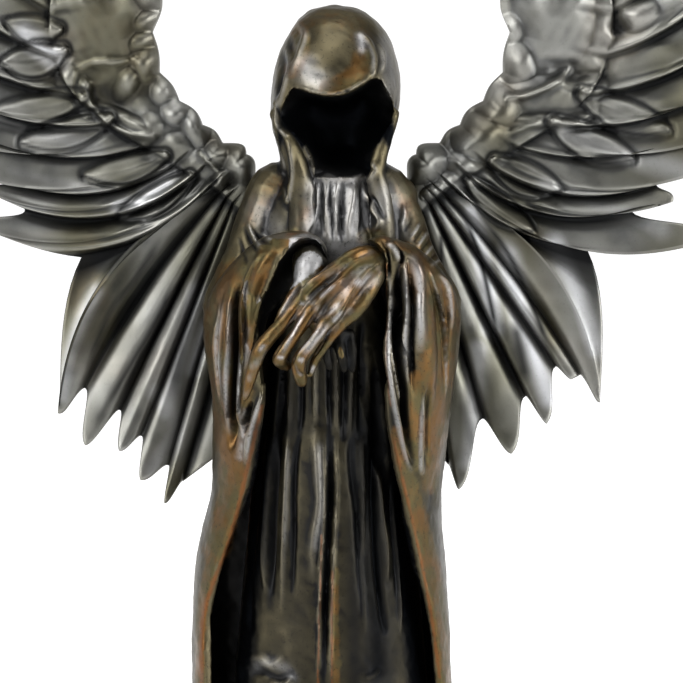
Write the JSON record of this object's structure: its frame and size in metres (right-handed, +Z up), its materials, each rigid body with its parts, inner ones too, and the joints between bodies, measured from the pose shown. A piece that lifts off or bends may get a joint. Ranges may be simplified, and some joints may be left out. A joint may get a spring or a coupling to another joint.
{
  "type": "winged hooded figurine",
  "caption": "Standing hooded figurine with an empty cowl, crossed hands, long bell sleeves and raised feathered wings, on a low round plinth.",
  "frame": {"origin": "middle of the plinth's underside", "axes": "+Z up from the underside to the wing tips; the figure looks along -Y; the wings spread along X"},
  "size_m": [0.2614, 0.1, 0.3401],
  "materials": {
    "bronze_resin": "cold-cast bronze resin, dark brown-black with the raised edges rubbed to copper brown, satin",
    "gunmetal_resin": "cold-cast bronze resin, dark olive gunmetal with brighter raised edges, satin",
    "plinth_black": "cast resin, near black, satin"
  },
  "bodies": {
    "root": {"plinth": "plinth_black", "reaper_figure": "bronze_resin", "wing_left": "gunmetal_resin", "wing_right": "gunmetal_resin"}
  },
  "joints": []
}
